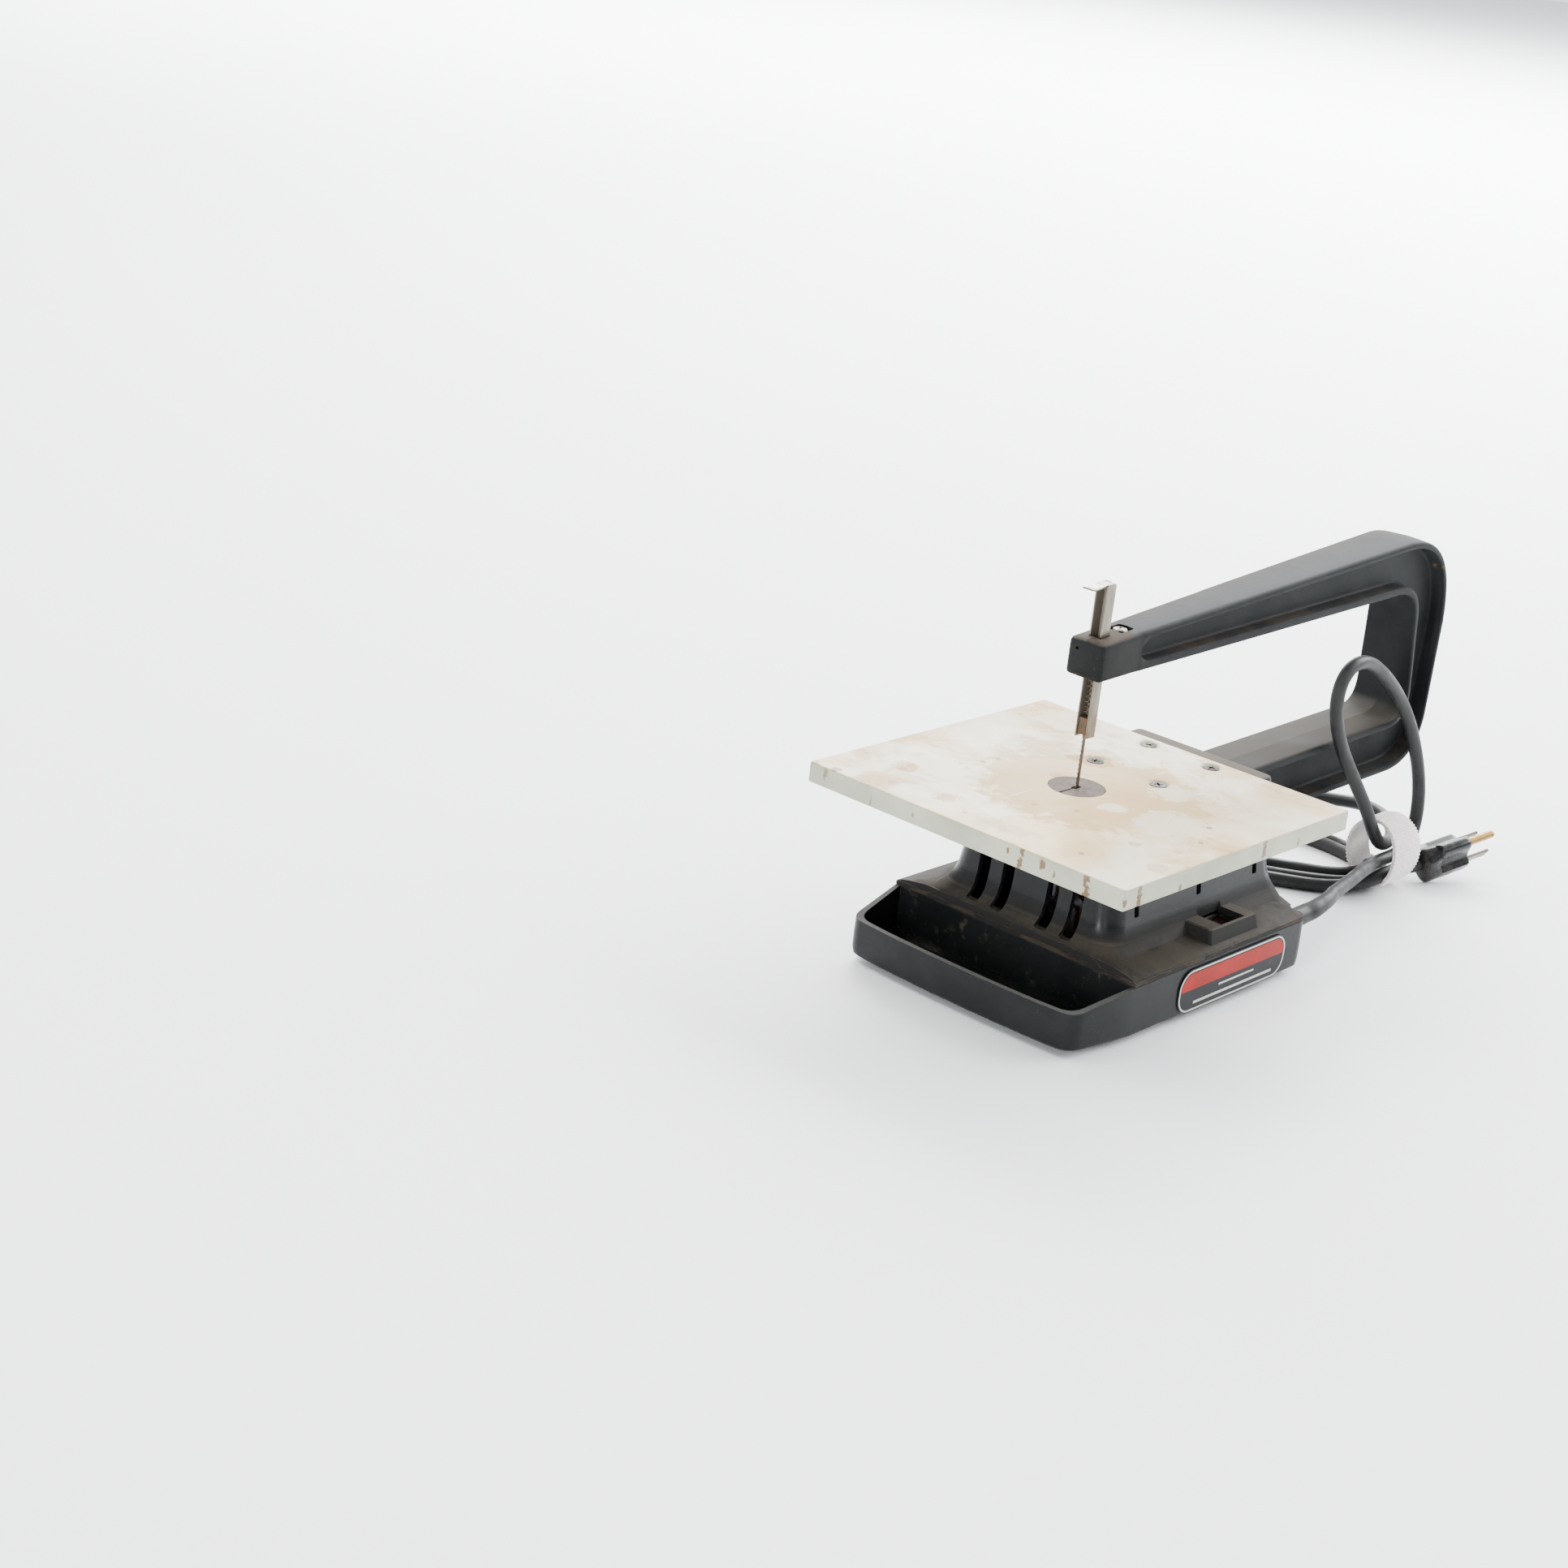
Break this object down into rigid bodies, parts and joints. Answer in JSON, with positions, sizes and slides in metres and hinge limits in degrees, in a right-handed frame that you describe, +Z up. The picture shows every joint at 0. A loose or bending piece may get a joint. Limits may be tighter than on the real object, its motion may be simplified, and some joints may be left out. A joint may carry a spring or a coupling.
{
  "type": "bench scroll saw",
  "caption": "Bench-top scroll saw: moulded base with a motor, sheet-steel table, C-shaped arm with a sprung blade guide, reciprocating blade and a tied-up mains cord.",
  "frame": {"origin": "on the surface the feet stand on, under the middle of the saw's width and length", "axes": "+Z up, +Y from the open chip tray at the front to the arm's column at the rear, +X to the operator's right; the blade lies in the plane x = 0"},
  "size_m": [0.2522, 0.4454, 0.215],
  "materials": {
    "casing": "fine-grained moulded ABS, dusty",
    "arm_plastic": "moulded, satin, dusty on upward faces",
    "foot_rubber": "matte",
    "table_paint": "cream enamel, stained and worn at the edge",
    "insert_plastic": "matte, dusty",
    "zinc": "zinc plated, dull",
    "nickel": "nickel plated, spotted with rust at the edges",
    "dark_steel": "oil-dark steel with light rust",
    "cast_metal": "as cast",
    "bronze": "sintered bronze",
    "copper": "enamelled winding wire",
    "fan_nylon": "natural nylon",
    "switch_red": "dark red, glossy",
    "label": "printed film, faded",
    "cord_rubber": "matte, dusty",
    "tie_fabric": "ribbed hook-and-loop strap",
    "plug_vinyl": "moulded vinyl, glossy",
    "pin_brass": "plain brass"
  },
  "bodies": {
    "frame": {"base_tray": "casing", "upper_housing": "casing", "table": "table_paint", "table_insert": "insert_plastic", "arm": "arm_plastic", "arm_bolt_front": "zinc", "arm_bolt_rear": "zinc", "plunger_guide": "cast_metal", "guide_bush_lower": "bronze", "guide_bush_upper": "bronze", "guide_screw_left": "zinc", "guide_screw_right": "zinc", "stator_core": "dark_steel", "stator_coil": "copper", "motor_bracket_front": "cast_metal", "motor_bracket_rear": "cast_metal", "shaft_bush_front": "bronze", "shaft_bush_rear": "bronze", "motor_screw_upper": "zinc", "motor_screw_lower": "zinc", "switch_body": "casing", "switch_pin": "zinc", "label_plate": "label", "strain_relief": "cord_rubber", "cord_lead": "cord_rubber", "cord_loop": "cord_rubber", "cord_tail": "cord_rubber", "cord_coil": "cord_rubber", "cord_tie": "tie_fabric", "plug_body": "plug_vinyl", "plug_blade_lower": "zinc", "plug_blade_upper": "zinc", "ground_pin": "pin_brass", "foot_front_left": "foot_rubber", "foot_front_right": "foot_rubber", "foot_rear_left": "foot_rubber", "foot_rear_right": "foot_rubber", "housing_screw_front_left": "zinc", "housing_screw_front_right": "zinc", "housing_screw_rear_left": "zinc", "housing_screw_rear_right": "zinc", "table_screw_front_left": "zinc", "table_screw_front_right": "zinc", "table_screw_rear_left": "zinc", "table_screw_rear_right": "zinc"},
    "guide_channel": {"blade_channel": "nickel", "spring_pin": "dark_steel"},
    "blade_drive": {"blade": "dark_steel", "upper_blade_hook": "dark_steel", "blade_pin_upper": "dark_steel", "blade_pin_lower": "dark_steel", "blade_plunger": "zinc", "tension_spring": "dark_steel"},
    "motor_rotor": {"motor_shaft": "zinc", "rotor": "cast_metal", "crank_disc": "dark_steel", "cooling_fan": "fan_nylon"},
    "lock_screw": {"channel_lock_screw": "zinc"},
    "switch": {"switch_rocker": "switch_red"}
  },
  "joints": [
    {"name": "channel_height", "type": "slide", "parent": "frame", "child": "guide_channel", "axis": [0, 0, 1], "range_m": [-0.02, 0.01]},
    {"name": "blade_stroke", "type": "slide", "parent": "frame", "child": "blade_drive", "axis": [0, 0, 1], "range_m": [-0.00475, 0.00475], "deforming": ["tension_spring"]},
    {"name": "motor_spin", "type": "hinge", "parent": "frame", "child": "motor_rotor", "pos_m": [0, 0, 0.033], "axis": [0, 1, 0], "continuous": true},
    {"name": "lock_screw_turn", "type": "hinge", "parent": "frame", "child": "lock_screw", "pos_m": [0, -0.1005, 0.187], "axis": [0, 0, 1], "range_deg": [-180, 180]},
    {"name": "switch_rock", "type": "hinge", "parent": "frame", "child": "switch", "pos_m": [0.06375, -0.06325, 0.033], "axis": [1, 0, 0], "range_deg": [-9, 9]}
  ]
}
